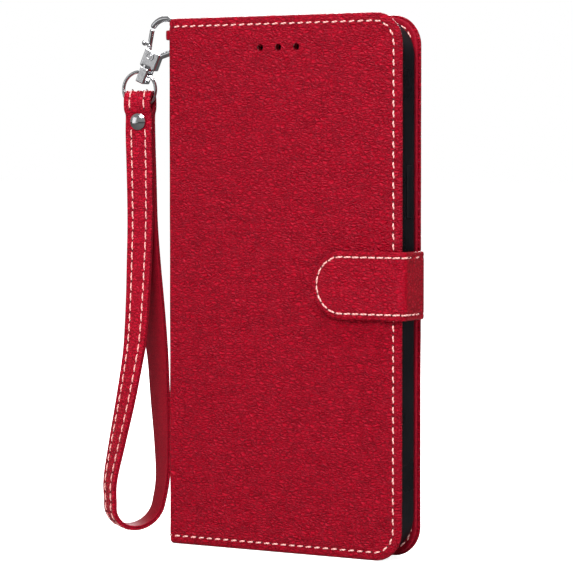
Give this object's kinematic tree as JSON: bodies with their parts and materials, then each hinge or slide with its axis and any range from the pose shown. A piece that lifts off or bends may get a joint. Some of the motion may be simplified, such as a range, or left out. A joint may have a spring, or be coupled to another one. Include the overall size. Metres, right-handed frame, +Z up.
{
  "type": "phone wallet case",
  "caption": "Folio wallet case for a large phone: holder shell, folding cover with card pockets, magnetic closure strap and a clip-on wrist strap.",
  "frame": {"origin": "centre of the rear cover's bottom edge, halfway through the rear cover's thickness", "axes": "+Z up along the case's height, +X across the covers away from the spine, +Y out of the rear cover's outer face"},
  "size_m": [0.1161, 0.0216, 0.1685],
  "materials": {
    "red_leather": "deep pebbled grain, soft sheen",
    "red_lining": "smooth, satin",
    "board": "uncoated fibre board",
    "thread": "waxed, pale pink-cream",
    "holder": "satin black",
    "chrome": "polished plate",
    "steel": "plain"
  },
  "bodies": {
    "rear_cover": {"rear_skin": "red_leather", "rear_board": "board", "rear_lining": "red_lining", "strap_root": "red_lining", "rear_seam_outside": "thread", "rear_seam_inside": "thread", "holder_shell": "holder"},
    "spine": {"spine_skin": "red_leather", "spine_lining": "red_lining", "lanyard_keeper": "red_leather"},
    "front_cover": {"front_skin": "red_leather", "front_board": "board", "front_magnet": "steel", "front_lining": "red_lining", "front_seam": "thread", "bill_pocket": "red_lining", "card_pocket_back": "red_lining", "card_pocket_middle": "red_lining", "card_pocket_front": "red_lining"},
    "strap_side": {"strap_side_leather": "red_leather", "strap_side_lining": "red_lining"},
    "strap_tongue": {"strap_tongue_leather": "red_leather", "strap_tongue_lining": "red_lining", "strap_magnet": "steel", "strap_tongue_seam": "thread"},
    "power_button": {"power_button": "holder"},
    "volume_up_button": {"volume_up_button": "holder"},
    "volume_down_button": {"volume_down_button": "holder"},
    "action_button": {"action_button": "holder"},
    "clasp": {"clasp_body": "chrome", "clasp_pin": "chrome", "gate_spring": "steel"},
    "gate": {"clasp_gate": "chrome"},
    "swivel_eye": {"swivel_eye": "chrome"},
    "ring": {"key_ring": "chrome"},
    "wrist_strap": {"wrist_strap_leather": "red_leather", "wrist_strap_lining": "red_lining", "wrist_strap_seam_left": "thread", "wrist_strap_seam_right": "thread", "strap_rivet": "chrome"}
  },
  "joints": [
    {"name": "spine_fold", "type": "hinge", "parent": "rear_cover", "child": "spine", "pos_m": [-0.0411, 0.0002, 0.0833], "axis": [0, 0, -1], "range_deg": [0, 90], "deforming": ["strap_side_leather", "strap_side_lining", "strap_tongue_leather", "strap_tongue_lining", "strap_magnet", "strap_tongue_seam"]},
    {"name": "cover_fold", "type": "hinge", "parent": "spine", "child": "front_cover", "pos_m": [-0.0411, -0.0134, 0.0835], "axis": [0, 0, -1], "range_deg": [0, 90], "deforming": ["strap_side_leather", "strap_side_lining", "strap_tongue_leather", "strap_tongue_lining", "strap_magnet", "strap_tongue_seam"]},
    {"name": "strap_side_fold", "type": "hinge", "parent": "rear_cover", "child": "strap_side", "pos_m": [0.0425, -0.0002, 0.08395], "axis": [0, 0, 1], "range_deg": [0, 90]},
    {"name": "strap_tongue_fold", "type": "hinge", "parent": "strap_side", "child": "strap_tongue", "pos_m": [0.0441, -0.0145, 0.08395], "axis": [0, 0, 1], "range_deg": [0, 90]},
    {"name": "power_button_press", "type": "slide", "parent": "rear_cover", "child": "power_button", "axis": [-1, 0, 0], "range_m": [0, 0.0004], "stiffness_N_per_m": 600},
    {"name": "volume_up_button_press", "type": "slide", "parent": "rear_cover", "child": "volume_up_button", "axis": [1, 0, 0], "range_m": [0, 0.0004], "stiffness_N_per_m": 600},
    {"name": "volume_down_button_press", "type": "slide", "parent": "rear_cover", "child": "volume_down_button", "axis": [1, 0, 0], "range_m": [0, 0.0004], "stiffness_N_per_m": 600},
    {"name": "action_button_press", "type": "slide", "parent": "rear_cover", "child": "action_button", "axis": [1, 0, 0], "range_m": [0, 0.0004], "stiffness_N_per_m": 600},
    {"name": "clasp_swing", "type": "hinge", "parent": "spine", "child": "clasp", "pos_m": [-0.04625, -0.00478, 0.162], "axis": [-0.1219, 0.9925, 0], "range_deg": [0, 30]},
    {"name": "gate_open", "type": "hinge", "parent": "clasp", "child": "gate", "pos_m": [-0.05463, -0.00581, 0.1555], "axis": [-0.1219, 0.9925, 0], "range_deg": [0, 22], "stiffness_Nm_per_rad": 0.002, "springref_deg": -11.46, "deforming": ["gate_spring"]},
    {"name": "swivel_turn", "type": "hinge", "parent": "clasp", "child": "swivel_eye", "pos_m": [-0.05621, -0.006, 0.15183], "axis": [0.3958, 0.0486, 0.9171], "continuous": true},
    {"name": "ring_swing", "type": "hinge", "parent": "swivel_eye", "child": "ring", "pos_m": [-0.05691, -0.00609, 0.15023], "axis": [0.9102, 0.1118, -0.3987], "range_deg": [-30, 30]},
    {"name": "wrist_strap_swing", "type": "hinge", "parent": "ring", "child": "wrist_strap", "pos_m": [-0.05916, -0.00637, 0.1407], "axis": [0.9848, 0.1736, 0], "range_deg": [-14, 14]}
  ]
}
